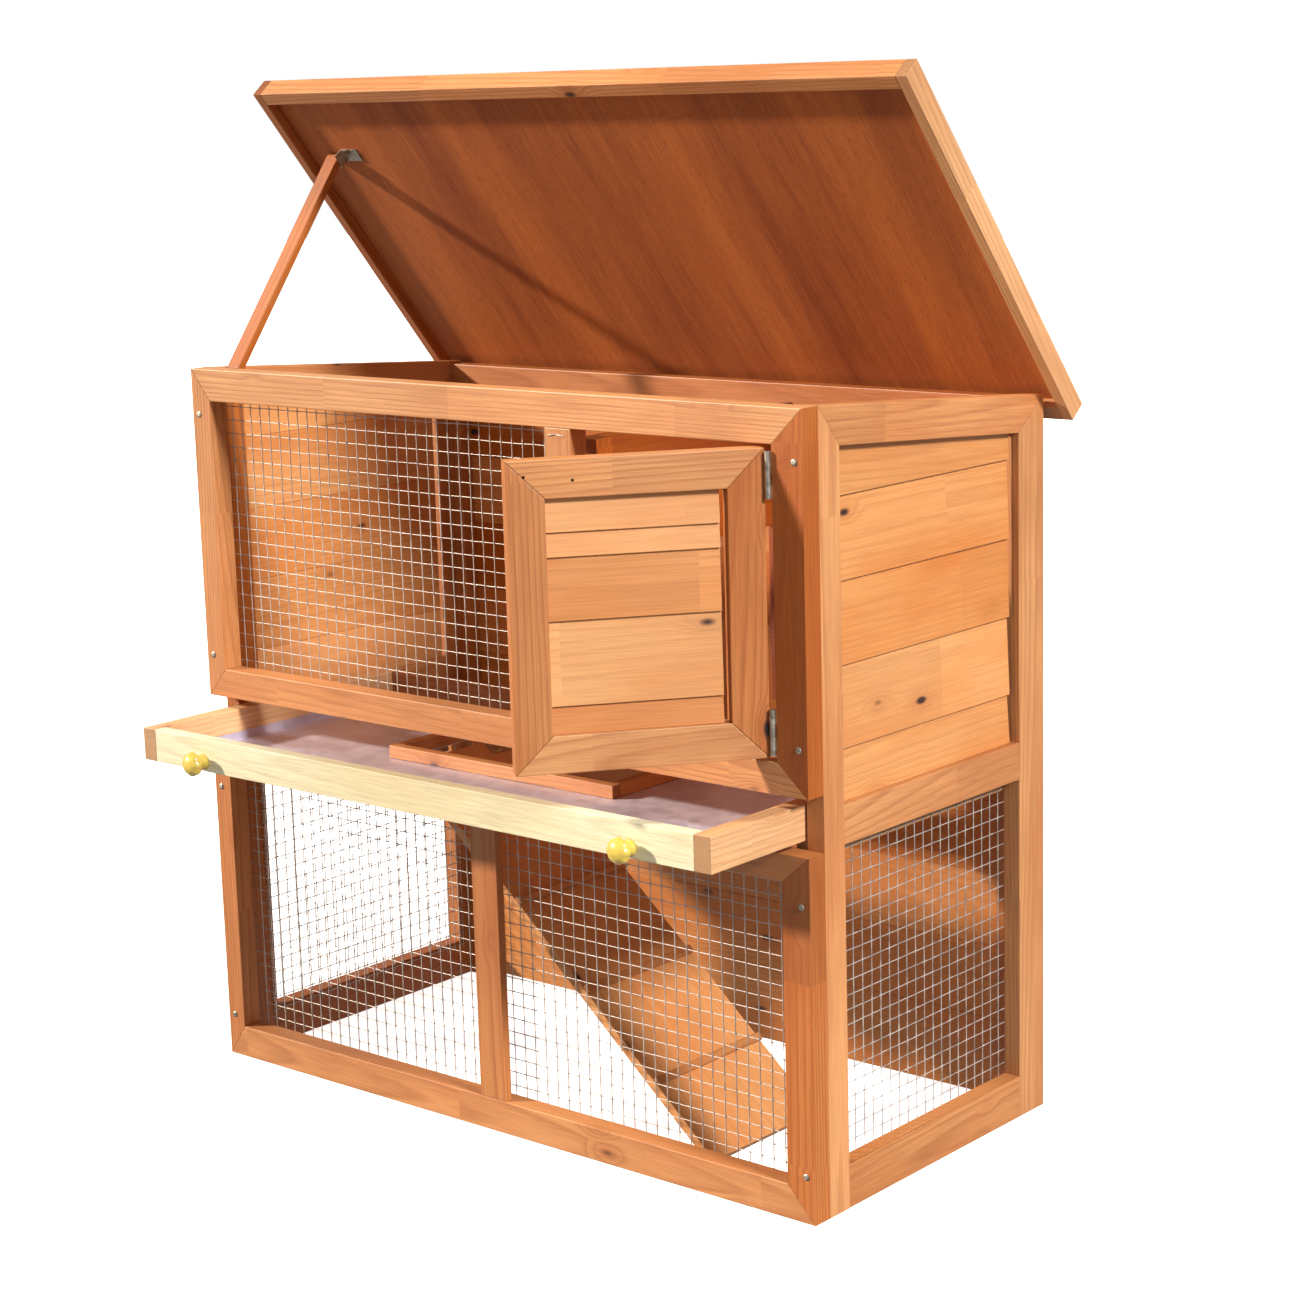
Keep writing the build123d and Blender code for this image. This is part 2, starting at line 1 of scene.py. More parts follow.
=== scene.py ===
# Two-storey rabbit hutch in stained fir, with welded mesh, a raw pine tray and a felted roof.
import json
import math
import random

import bmesh
import bpy
from mathutils import Matrix, Vector


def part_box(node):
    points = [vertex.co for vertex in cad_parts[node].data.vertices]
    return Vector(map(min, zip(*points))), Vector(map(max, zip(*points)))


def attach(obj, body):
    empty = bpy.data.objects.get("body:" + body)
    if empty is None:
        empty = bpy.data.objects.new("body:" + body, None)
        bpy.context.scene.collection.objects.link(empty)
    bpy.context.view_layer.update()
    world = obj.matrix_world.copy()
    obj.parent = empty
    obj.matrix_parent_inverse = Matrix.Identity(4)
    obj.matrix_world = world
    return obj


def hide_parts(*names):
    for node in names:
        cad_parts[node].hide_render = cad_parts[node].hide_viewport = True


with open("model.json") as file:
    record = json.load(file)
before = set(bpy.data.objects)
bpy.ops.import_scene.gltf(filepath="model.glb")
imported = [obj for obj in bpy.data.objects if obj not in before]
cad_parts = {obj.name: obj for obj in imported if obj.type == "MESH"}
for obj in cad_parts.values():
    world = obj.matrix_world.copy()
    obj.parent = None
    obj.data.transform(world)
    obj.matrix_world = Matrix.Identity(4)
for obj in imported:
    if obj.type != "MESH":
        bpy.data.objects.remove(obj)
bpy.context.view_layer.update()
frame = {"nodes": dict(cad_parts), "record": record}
record = frame["record"]
bodyOf = {node: body for body, members in record["behaviour"]["bodies"].items() for node in members}
slotOf = {row["node"]: row["material_slot"] for row in record["subparts"]}
mm = 0.001


def linearColour(code):
    # sRGB hex to the linear colour that shaders take
    parts = [int(code[i:i + 2], 16) / 255 for i in (1, 3, 5)]
    return (*[p / 12.92 if p <= 0.04045 else ((p + 0.055) / 1.055) ** 2.4 for p in parts], 1)


def setInputs(tree, node, inputs):
    # a value, a socket, or a node, whose first output is linked
    for socket, value in inputs.items():
        if isinstance(value, bpy.types.Node):
            value = value.outputs[0]
        if isinstance(value, bpy.types.NodeSocket):
            tree.links.new(value, node.inputs[socket])
        else:
            node.inputs[socket].default_value = value


def addNode(tree, kind, inputs=None, stops=None, **settings):
    # a node with its settings, its ramp's stops, and values or links for its inputs
    node = tree.nodes.new(kind)
    for name, value in settings.items():
        setattr(node, name, value)
    for index, (position, colour) in enumerate(stops or []):
        element = node.color_ramp.elements
        stop = element[index] if index < 2 else element.new(position)
        stop.position, stop.color = position, colour
    setInputs(tree, node, inputs or {})
    return node


def newMaterial(name):
    material = bpy.data.materials.new(name)
    material.use_nodes = True
    material.node_tree.nodes.clear()
    surface = addNode(material.node_tree, "ShaderNodeBsdfPrincipled")
    addNode(material.node_tree, "ShaderNodeOutputMaterial", {"Surface": surface})
    return material, material.node_tree, surface


def newPiece(name, vertices, faces, body, material, smooth=True):
    mesh = bpy.data.meshes.new(name)
    mesh.from_pydata(vertices, [], faces)
    mesh.materials.append(material)
    mesh.polygons.foreach_set("use_smooth", [smooth] * len(mesh.polygons))
    piece = bpy.data.objects.new(name, mesh)
    bpy.context.scene.collection.objects.link(piece)
    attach(piece, body)
    return piece


firLook = {
    "early": "#C58650", "late": "#944C1E", "rich": "#AC6632", "knot": "#32160A",
    "ringWidth": 3.6 * mm,      # fast-grown fir has 3 to 6 mm rings
    "wander": 15 * mm, "ringShare": 0.5, "knotShare": 0.2,
    "fibreWidth": 1.6 * mm,     # real fibres are far finer; drawn coarse enough to show
    "jointLength": 330 * mm,    # finger-jointed lengths change tone where they meet
    "jointShare": 0.16, "toneAndLightShare": 0.12, "roughness": 0.5, "coat": 0.12,
    "streak": 0.2, "blotchShare": 0.8,
}
boardLook = dict(
    firLook, early="#CB8C52", late="#A86430", rich="#C0763A", knotShare=0.3,
    wander=20 * mm, ringWidth=4.6 * mm, jointShare=0.12, ringShare=0.36, streak=0.12,
    toneAndLightShare=0.1, blotchShare=1.0,
)
pineLook = dict(
    firLook, early="#E2DDBF", late="#BFA876", rich="#D6C294", knot="#6B4020", knotShare=0.2,
    jointShare=0.06, coat=0.0, roughness=0.62, ringShare=0.4,
)


stainedPineLook = dict(pineLook, early="#D8A676", late="#A9703F", rich="#BD8450")


def timberMaterial(name, look, endGrain=False):
    # softwood under a thin oil stain: soft early wood takes more colour than the hard, glossier late wood
    material, tree, surface = newMaterial(name)
    place = addNode(tree, "ShaderNodeAttribute", attribute_name="grainPlace").outputs["Vector"]
    # each board's own tone together with its member's painted light and shade
    toneAndLight = addNode(tree, "ShaderNodeAttribute", attribute_name="boardToneAndPaintedLight").outputs["Fac"]
    along = addNode(tree, "ShaderNodeSeparateXYZ", {0: place})

    # finger-jointed lengths: each has its own tone and its own run of rings
    joint = addNode(tree, "ShaderNodeMath", {0: along, 1: 1 / look["jointLength"]}, operation="MULTIPLY")
    length = addNode(tree, "ShaderNodeTexVoronoi", {"W": joint, "Scale": 1.0}, voronoi_dimensions="1D")
    lengthTone = addNode(tree, "ShaderNodeSeparateColor", {0: length.outputs["Color"]})

    # knots: cells 90 mm apart along the grain and 40 mm across, few of which hold a knot
    knotCells = (11, 25, 25)
    cellPlace = addNode(tree, "ShaderNodeVectorMath", {0: place, 1: knotCells}, operation="MULTIPLY")
    cell = addNode(tree, "ShaderNodeTexVoronoi", {"Vector": cellPlace, "Scale": 1.0})
    chance = addNode(tree, "ShaderNodeSeparateColor", {0: cell.outputs["Color"]})
    isKnot = addNode(tree, "ShaderNodeMath", {0: chance, 1: 1 - look["knotShare"]}, operation="GREATER_THAN")
    near = addNode(tree, "ShaderNodeMapRange", {
        "Value": cell, "From Min": 0.0, "From Max": 0.42, "To Min": 1.0, "To Max": 0.0,
    }, interpolation_type="SMOOTHSTEP")
    pull = addNode(tree, "ShaderNodeMath", {0: isKnot, 1: near}, operation="MULTIPLY")
    core = addNode(tree, "ShaderNodeMapRange", {
        "Value": cell, "From Min": 0.06, "From Max": 0.12, "To Min": 1.0, "To Max": 0.0,
    })
    knot = addNode(tree, "ShaderNodeMath", {0: isKnot, 1: core}, operation="MULTIPLY")

    # growth rings round a pith that runs beside the member, bent by a slow wander and by the knots
    section = addNode(tree, "ShaderNodeVectorMath", {0: place, 1: (0, 1, 1)}, operation="MULTIPLY")
    pith = addNode(tree, "ShaderNodeVectorMath", {0: section}, operation="LENGTH").outputs["Value"]
    slowCells = (1.1, 11, 11)       # 900 mm along the grain and 90 mm across
    slow = addNode(tree, "ShaderNodeVectorMath", {0: place, 1: slowCells}, operation="MULTIPLY")
    wander = addNode(tree, "ShaderNodeTexNoise", {"Vector": slow, "Scale": 1.0, "Detail": 2.0})
    bent = addNode(tree, "ShaderNodeMath", {0: wander, 1: look["wander"], 2: pith}, operation="MULTIPLY_ADD")
    shifted = addNode(tree, "ShaderNodeMath", {0: lengthTone, 1: 0.09, 2: bent}, operation="MULTIPLY_ADD")
    pulled = addNode(tree, "ShaderNodeMath", {0: pull, 1: 9 * mm, 2: shifted}, operation="MULTIPLY_ADD")
    ring = addNode(tree, "ShaderNodeMath", {0: pulled, 1: 1 / look["ringWidth"]}, operation="MULTIPLY")
    phase = addNode(tree, "ShaderNodeMath", {0: ring}, operation="FRACT")
    late = addNode(tree, "ShaderNodeValToRGB", {0: phase}, stops=[
        (0.0, (0, 0, 0, 1)), (1.0, (0.05, 0.05, 0.05, 1)), (0.5, (0.22, 0.22, 0.22, 1)),
        (0.84, (1, 1, 1, 1)), (0.93, (0.55, 0.55, 0.55, 1)),
    ])

    # fibres and a blotchy take-up of the stain
    width = look["fibreWidth"]
    stretch = (0.02 / width, 1 / width, 1 / width)
    fine = addNode(tree, "ShaderNodeVectorMath", {0: place, 1: stretch}, operation="MULTIPLY")
    fibre = addNode(tree, "ShaderNodeTexNoise", {
        "Vector": fine, "Scale": 1.0, "Detail": 3.0, "Roughness": 0.65,
    })
    blotchCells = (4, 13, 13)       # 250 mm along the grain and 77 mm across
    broad = addNode(tree, "ShaderNodeVectorMath", {0: place, 1: blotchCells}, operation="MULTIPLY")
    blotch = addNode(tree, "ShaderNodeTexNoise", {"Vector": broad, "Scale": 1.0, "Detail": 3.0})
    takeUp = addNode(tree, "ShaderNodeMapRange", {
        "Value": blotch, "From Min": 0.4, "From Max": 0.68, "To Min": 0.0, "To Max": look["blotchShare"],
    })

    lateShare = addNode(tree, "ShaderNodeMath", {0: late, 1: look["ringShare"]}, operation="MULTIPLY")
    grain = addNode(tree, "ShaderNodeMix", {
        0: lateShare, 6: linearColour(look["early"]), 7: linearColour(look["late"]),
    }, data_type="RGBA").outputs[2]
    stained = addNode(tree, "ShaderNodeMix", {
        0: takeUp, 6: grain, 7: linearColour(look["rich"]),
    }, data_type="RGBA").outputs[2]
    ringed = addNode(tree, "ShaderNodeMix", {
        0: lateShare, 6: stained, 7: grain,
    }, data_type="RGBA").outputs[2]
    streak = addNode(tree, "ShaderNodeMapRange", {
        "Value": fibre, "From Min": 0.3, "From Max": 0.7, "To Min": 1 - look["streak"], "To Max": 1.1,
    })
    halo = addNode(tree, "ShaderNodeMath", {0: pull, 1: 0.45}, operation="MULTIPLY")
    haloed = addNode(tree, "ShaderNodeMix", {
        0: halo, 6: ringed, 7: linearColour(look["late"]),
    }, data_type="RGBA")
    knotted = addNode(tree, "ShaderNodeMix", {
        0: knot, 6: haloed.outputs[2], 7: linearColour(look["knot"]),
    }, data_type="RGBA").outputs[2]

    # the tone and the painted light and shade lighten or darken the stain
    ownToneAndLight = addNode(tree, "ShaderNodeMath", {
        0: toneAndLight, 1: look["toneAndLightShare"], 2: 1.0,
    }, operation="MULTIPLY_ADD")
    lengthShift = addNode(tree, "ShaderNodeMath", {0: lengthTone, 1: 0.5}, operation="SUBTRACT")
    tonesAndLight = addNode(tree, "ShaderNodeMath", {
        0: lengthShift, 1: look["jointShare"], 2: ownToneAndLight,
    }, operation="MULTIPLY_ADD")
    value = addNode(tree, "ShaderNodeMath", {0: tonesAndLight, 1: streak}, operation="MULTIPLY")
    shade = addNode(tree, "ShaderNodeMath", {0: value, 1: 0.62 if endGrain else 1.0}, operation="MULTIPLY")
    # saturation and hue shift with the same tone and painted light and shade
    depth = addNode(tree, "ShaderNodeMath", {0: toneAndLight, 1: -0.05, 2: 1.0}, operation="MULTIPLY_ADD")
    warmth = addNode(tree, "ShaderNodeMath", {0: toneAndLight, 1: 0.005, 2: 0.5}, operation="MULTIPLY_ADD")
    colour = addNode(tree, "ShaderNodeHueSaturation", {
        "Hue": warmth, "Saturation": depth, "Value": shade, "Color": knotted,
    })

    gloss = addNode(tree, "ShaderNodeMapRange", {
        "Value": fibre, "To Min": look["roughness"] - 0.1, "To Max": look["roughness"] + 0.18,
    })
    relief = addNode(tree, "ShaderNodeMath", {0: late, 1: 0.5, 2: fibre}, operation="MULTIPLY_ADD")
    bump = addNode(tree, "ShaderNodeBump", {"Height": relief, "Strength": 0.45, "Distance": 0.35 * mm})
    setInputs(tree, surface, {
        "Base Color": colour, "Roughness": gloss, "Normal": bump, "IOR": 1.5,
        "Coat Weight": 0.0 if endGrain else look["coat"], "Coat Roughness": 0.35,
    })
    return material


def plywoodMaterial():
    # rotary-cut red hardwood veneer: straight, open-pored and almost without rings
    material, tree, surface = newMaterial("meranti plywood, sanded")
    look = {
        "pale": "#BA6626", "deep": "#873E10", "pore": "#4E220E",
        "poreLength": 7 * mm, "poreWidth": 0.7 * mm,
        "bands": (1.6, 14, 14), "fibres": (16, 520, 520),   # per metre along and across the grain
    }
    place = addNode(tree, "ShaderNodeAttribute", attribute_name="grainPlace").outputs["Vector"]
    slow = addNode(tree, "ShaderNodeVectorMath", {0: place, 1: look["bands"]}, operation="MULTIPLY")
    bands = addNode(tree, "ShaderNodeTexNoise", {
        "Vector": slow, "Scale": 1.0, "Detail": 4.0, "Roughness": 0.6,
    })
    fine = addNode(tree, "ShaderNodeVectorMath", {0: place, 1: look["fibres"]}, operation="MULTIPLY")
    streaks = addNode(tree, "ShaderNodeTexNoise", {"Vector": fine, "Scale": 1.0, "Detail": 3.0})
    poreStretch = (1 / look["poreLength"], 1 / look["poreWidth"], 1 / look["poreWidth"])
    poreCells = addNode(tree, "ShaderNodeVectorMath", {0: place, 1: poreStretch}, operation="MULTIPLY")
    pores = addNode(tree, "ShaderNodeTexVoronoi", {"Vector": poreCells, "Scale": 0.5})
    pore = addNode(tree, "ShaderNodeMapRange", {
        "Value": pores, "From Min": 0.12, "From Max": 0.3, "To Min": 0.55, "To Max": 0.0,
    })
    mottle = addNode(tree, "ShaderNodeMath", {0: streaks, 1: 0.5, 2: bands}, operation="MULTIPLY_ADD")
    share = addNode(tree, "ShaderNodeMapRange", {"Value": mottle, "From Min": 0.5, "From Max": 0.98})
    veneer = addNode(tree, "ShaderNodeMix", {
        0: share, 6: linearColour(look["deep"]), 7: linearColour(look["pale"]),
    }, data_type="RGBA").outputs[2]
    colour = addNode(tree, "ShaderNodeMix", {
        0: pore, 6: veneer, 7: linearColour(look["pore"]),
    }, data_type="RGBA")
    bump = addNode(tree, "ShaderNodeBump", {"Height": streaks, "Strength": 0.3, "Distance": 0.2 * mm})
    setInputs(tree, surface, {
        "Base Color": colour.outputs[2], "Roughness": 0.72, "Normal": bump, "IOR": 1.5,
    })
    return material


def feltMaterial():
    # bitumen felt with crushed green slate: coarse, dull, with a few pale grains
    material, tree, surface = newMaterial("mineral bitumen felt")
    look = {
        "dark": "#222D25", "mid": "#38453A", "pale": "#5D6858",
        "grain": 1.6 * mm,      # real grains are 1 mm
    }
    place = addNode(tree, "ShaderNodeTexCoord").outputs["Object"]
    grains = addNode(tree, "ShaderNodeTexVoronoi", {"Vector": place, "Scale": 1 / look["grain"]})
    shades = addNode(tree, "ShaderNodeSeparateColor", {0: grains.outputs["Color"]})
    broad = addNode(tree, "ShaderNodeTexNoise", {"Vector": place, "Scale": 9.0, "Detail": 4.0})
    mixed = addNode(tree, "ShaderNodeMath", {0: broad, 1: 0.5, 2: shades}, operation="MULTIPLY_ADD")
    colour = addNode(tree, "ShaderNodeValToRGB", {0: mixed}, stops=[
        (0.2, linearColour(look["dark"])), (1.0, linearColour(look["pale"])),
        (0.7, linearColour(look["mid"])),
    ])
    bump = addNode(tree, "ShaderNodeBump", {"Height": grains, "Strength": 0.7, "Distance": 0.6 * mm})
    setInputs(tree, surface, {"Base Color": colour, "Roughness": 0.92, "Normal": bump})
    return material


def zincMaterial(name, look):
    # zinc over steel: bright where it is plated, grey and spangled where it is hot-dipped
    material, tree, surface = newMaterial(name)
    place = addNode(tree, "ShaderNodeTexCoord").outputs["Object"]
    spangle = addNode(tree, "ShaderNodeTexVoronoi", {"Vector": place, "Scale": 1 / look["spangle"]})
    facet = addNode(tree, "ShaderNodeSeparateColor", {0: spangle.outputs["Color"]})
    film = addNode(tree, "ShaderNodeTexNoise", {"Vector": place, "Scale": look["film"], "Detail": 4.0})
    both = addNode(tree, "ShaderNodeMath", {
        0: facet, 1: look["facetShare"], 2: film,
    }, operation="MULTIPLY_ADD")
    share = addNode(tree, "ShaderNodeMapRange", {"Value": both, "From Min": 0.3, "From Max": 1.0})
    colour = addNode(tree, "ShaderNodeMix", {
        0: share, 6: linearColour(look["dull"]), 7: linearColour(look["bright"]),
    }, data_type="RGBA").outputs[2]
    rough = addNode(tree, "ShaderNodeMapRange", {
        "Value": both, "To Min": look["roughness"] - 0.08, "To Max": look["roughness"] + 0.12,
    })
    bump = addNode(tree, "ShaderNodeBump", {"Height": film, "Strength": 0.25, "Distance": 0.15 * mm})
    setInputs(tree, surface, {"Base Color": colour, "Metallic": 1.0, "Roughness": rough, "Normal": bump})
    return material


def knobMaterial():
    # turned beech under thick yellow lacquer: a soft clear gloss over faint grain
    material, tree, surface = newMaterial("beech, yellow lacquer")
    look = {"pale": "#DCC45A", "deep": "#B8952F"}
    place = addNode(tree, "ShaderNodeTexCoord").outputs["Object"]
    slow = addNode(tree, "ShaderNodeVectorMath", {0: place, 1: (60, 500, 500)}, operation="MULTIPLY")
    grain = addNode(tree, "ShaderNodeTexNoise", {"Vector": slow, "Scale": 1.0, "Detail": 3.0})
    colour = addNode(tree, "ShaderNodeMix", {
        0: grain, 6: linearColour(look["deep"]), 7: linearColour(look["pale"]),
    }, data_type="RGBA").outputs[2]
    bump = addNode(tree, "ShaderNodeBump", {"Height": grain, "Strength": 0.15, "Distance": 0.2 * mm})
    setInputs(tree, surface, {
        "Base Color": colour, "Roughness": 0.35, "Normal": bump, "IOR": 1.5,
        "Coat Weight": 0.6, "Coat Roughness": 0.12,
    })
    return material


zincLook = {
    "dull": "#7E776C", "bright": "#BDB6A8", "spangle": 9 * mm, "film": 60.0,
    "facetShare": 0.6, "roughness": 0.38,
}
timberMaterials = {
    slotName: (timberMaterial(name, look), timberMaterial(name + ", end grain", look, True))
    for slotName, name, look in (
        ("stained_frame", "fir, honey stain", firLook),
        ("stained_boards", "fir boards, honey stain", boardLook),
        ("raw_pine", "pine, planed and unfinished", pineLook),
    )
}
# a darker, browner pine for the tray's sides, back and runners
stainedPine = (
    timberMaterial("pine, darker and browner", stainedPineLook),
    timberMaterial("pine, darker and browner, end grain", stainedPineLook, True),
)
plywood = plywoodMaterial()
timberMaterials["plywood"] = (plywood, plywood)
platedSteel = zincMaterial("steel, bright zinc plate", zincLook)
dippedWire = zincMaterial("steel wire, hot-dip zinc", dict(
    zincLook, dull="#A39A93", bright="#D2C9C1", roughness=0.55,
))
dippedSheet = zincMaterial("steel sheet, hot-dip zinc", dict(
    zincLook, dull="#CEC6D4", bright="#E6E0E8", spangle=14 * mm, film=14.0, facetShare=0.3, roughness=0.6,
))
# dark brown pin heads for the door's top rail
darkBrownPinSteel = zincMaterial("steel pins, dark brown", dict(zincLook, dull="#2E2018", bright="#4C3B30"))
lacqueredBeech = knobMaterial()
felt = feltMaterial()
print("materials made")


def islandsOf(mesh):
    # groups of joined vertices, one for each separate board
    unseen, groups = set(mesh.verts), []
    while unseen:
        start = next(v for v in mesh.verts if v in unseen)
        unseen.discard(start)
        group, queue = [start], [start]
        while queue:
            for edge in queue.pop().link_edges:
                for vertex in edge.verts:
                    if vertex in unseen:
                        unseen.discard(vertex)
                        group.append(vertex)
                        queue.append(vertex)
        groups.append(group)
    return groups


# members shown lighter (+) or darker (-) than the stain, in steps of about 12 percent, all painted light and
# shade: the darker ones paint in the hutch's own shade inside, in the corners and in the shadows of the tray and
# the open door, which the studio's lights leave too pale; the lighter ones are painted light
paintedMemberLight = {
    "side_bottom_rail_left": -2.0, "side_front_stile_left": -1.6, "side_back_stile_left": -1.2,
    "partition_boards": -3.6, "back_boards": -2.0, "back_rails": -1.2, "tray_back": -3.2,
    "lower_mullion": -0.5, "lower_right_stile": -1.7, "lower_left_stile": -1.2, "upper_right_stile": -2.2,
    "upper_left_stile": 0.1, "upper_top_rail": 0.7, "upper_bottom_rail": 0.7, "lower_bottom_rail": 0.2,
    "door_hinge_stile": -2.0, "door_latch_stile": -0.8, "door_top_rail": 0.2, "door_bottom_rail": 0.2,
    "prop_stick": -1.9, "roof_front_fascia": -0.6, "roof_right_fascia": 1.6, "roof_left_fascia": -1.5,
    "ramp_board": 0.6, "side_bottom_rail_right": -0.4,
}
arrisLook = {"boards": 0.5 * mm, "frame": 1.0 * mm, "sharpest": 28}   # eased, where faces turn 28 degrees or more
# the tray members made in the darker, browner pine
brownerPineParts = ("tray_side_left", "tray_side_right", "tray_back", "tray_runners")


def dressTimber(node, easing, crossGrain):
    # the CAD member with its arrises eased, and for each board the direction and place of its grain, and its tone
    # with the member's painted light and shade
    source = frame["nodes"][node].data
    mesh = bmesh.new()
    corners = [mesh.verts.new(v.co) for v in source.vertices]
    for polygon in source.polygons:
        mesh.faces.new([corners[i] for i in polygon.vertices])
    bmesh.ops.remove_doubles(mesh, verts=mesh.verts, dist=0.02 * mm)
    bmesh.ops.dissolve_limit(mesh, angle_limit=math.radians(0.6), verts=mesh.verts, edges=mesh.edges)
    mesh.normal_update()
    sharpest = math.radians(arrisLook["sharpest"])
    arrises = [e for e in mesh.edges if e.is_manifold and e.calc_face_angle(0) > sharpest]
    bmesh.ops.bevel(
        mesh, geom=arrises, offset=easing, segments=2, profile=0.55, affect="EDGES", clamp_overlap=True
    )
    mesh.normal_update()
    placeLayer = mesh.verts.layers.float_vector.new("grainPlace")
    toneAndLightLayer = mesh.verts.layers.float.new("boardToneAndPaintedLight")
    draw = random.Random(node)
    for group in islandsOf(mesh):
        edges = {e for v in group for e in v.link_edges}
        faces = {f for v in group for f in v.link_faces}
        longest = max(sorted(edges, key=lambda e: e.index), key=lambda e: round(e.calc_length(), 5))
        along = (longest.verts[1].co - longest.verts[0].co).normalized()
        widest = max(sorted(faces, key=lambda f: f.index), key=lambda f: round(f.calc_area(), 7)).normal
        if crossGrain:
            along = along.cross(widest).normalized()
        across = widest.cross(along).normalized()
        centre = sum((v.co for v in group), Vector()) / len(group)
        # the pith lies off the member's face, so that the rings arch on the wide faces
        angle = math.radians(90 + draw.uniform(-38, 38)) * draw.choice((-1, 1))
        reach = draw.uniform(30, 75) * mm
        pith = Vector((draw.uniform(0, 40), reach * math.cos(angle), reach * math.sin(angle)))
        lean = draw.uniform(-0.03, 0.03)
        toneAndLight = draw.uniform(-1, 1) if "boards" in node else draw.uniform(-0.4, 0.4)
        # the member's painted light and shade, added to the board's own tone
        toneAndLight += paintedMemberLight.get(node, 0.0)
        for vertex in group:
            local = vertex.co - centre
            u = local.dot(along)
            vertex[placeLayer] = Vector((u, local.dot(across), local.dot(widest) + lean * u)) + pith
            vertex[toneAndLightLayer] = toneAndLight
        for face in faces:
            face.material_index = 1 if abs(face.normal.dot(along)) > 0.6 else 0
    dressed = bpy.data.meshes.new(node + "_timber")
    mesh.to_mesh(dressed)
    mesh.free()
    for material in stainedPine if node in brownerPineParts else timberMaterials[slotOf[node]]:
        dressed.materials.append(material)
    piece = bpy.data.objects.new(node + "_timber", dressed)
    bpy.context.scene.collection.objects.link(piece)
    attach(piece, bodyOf[node])
    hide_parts(node)
    return piece


for node, slotName in slotOf.items():
    if slotName in timberMaterials:
        dressTimber(node, arrisLook["boards" if "boards" in node else "frame"], slotName == "plywood")
print("timber dressed")


meshLook = {
    "pitch": 15 * mm, "wire": 1.0 * mm, "wobble": 0.35 * mm, "sides": 6, "weld": 1.3,
    "rear": 0.5, "face": 2.2,   # how deep the two layers of wire lie, in half wires
}


def wireTube(points, radii, sides, vertices, faces):
    # one closed wire along its points, added to the lists
    start = len(vertices)
    direction = (points[-1] - points[0]).normalized()
    first = direction.orthogonal().normalized()
    second = direction.cross(first)
    for point, radius in zip(points, radii):
        for step in range(sides):
            turn = 2 * math.pi * step / sides
            vertices.append(point + (first * math.cos(turn) + second * math.sin(turn)) * radius)
    for ring in range(len(points) - 1):
        for step in range(sides):
            following = (step + 1) % sides
            low = start + ring * sides
            faces.append((low + step, low + following, low + sides + following, low + sides + step))
    faces.append(tuple(start + step for step in reversed(range(sides))))
    faces.append(tuple(start + (len(points) - 1) * sides + step for step in range(sides)))


def weldedMesh(node):
    # straight round wires both ways, touching where they cross and thicker there with weld and zinc
    low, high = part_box(node)
    size = high - low
    thin = min(range(3), key=lambda axis: size[axis])
    across, upward = [axis for axis in range(3) if axis != thin]
    draw = random.Random(node)
    pitch, radius = meshLook["pitch"], meshLook["wire"] / 2
    vertices, faces = [], []
    for run, other, depth in ((upward, across, meshLook["rear"]), (across, upward, meshLook["face"])):
        places = int((size[other] - 2 * radius) / pitch) + 1
        crossings = int((size[run] - 2 * radius) / pitch) + 1
        otherStart = (low[other] + high[other] - (places - 1) * pitch) / 2
        runStart = (low[run] + high[run] - (crossings - 1) * pitch) / 2
        for place in range(places):
            points, radii, drift = [], [], 0.0
            between = [runStart + step * pitch / 2 for step in range(2 * crossings - 1)]
            marks = [low[run]] + between + [high[run]]
            for number, mark in enumerate(marks):
                drift = 0.7 * drift + draw.uniform(-0.5, 0.5) * meshLook["wobble"]
                point = Vector((0, 0, 0))
                point[run] = mark
                point[other] = otherStart + place * pitch + drift
                point[thin] = low[thin] + radius * (depth + 0.5)
                points.append(point)
                radii.append(radius * (meshLook["weld"] if number % 2 else 1.0))
            wireTube(points, radii, meshLook["sides"], vertices, faces)
    piece = newPiece(node + "_wire", vertices, faces, bodyOf[node], dippedWire)
    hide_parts(node)


for node, slotName in slotOf.items():
    if slotName == "galvanised_mesh":
        weldedMesh(node)
print("welded mesh made")


sheetLook = {"thickness": 0.8 * mm, "lip": 9 * mm, "clear": 0.3 * mm, "rimWidth": 12 * mm}


def slab(low, high, vertices, faces):
    # a square-cut plate between two corners, added to the lists
    start = len(vertices)
    for z in (low[2], high[2]):
        for x, y in ((low[0], low[1]), (high[0], low[1]), (high[0], high[1]), (low[0], high[1])):
            vertices.append(Vector((x, y, z)))
    quads = ((3, 2, 1, 0), (4, 5, 6, 7), (0, 1, 5, 4), (1, 2, 6, 5), (2, 3, 7, 6), (3, 0, 4, 7))
    faces.extend(tuple(start + corner for corner in quad) for quad in quads)


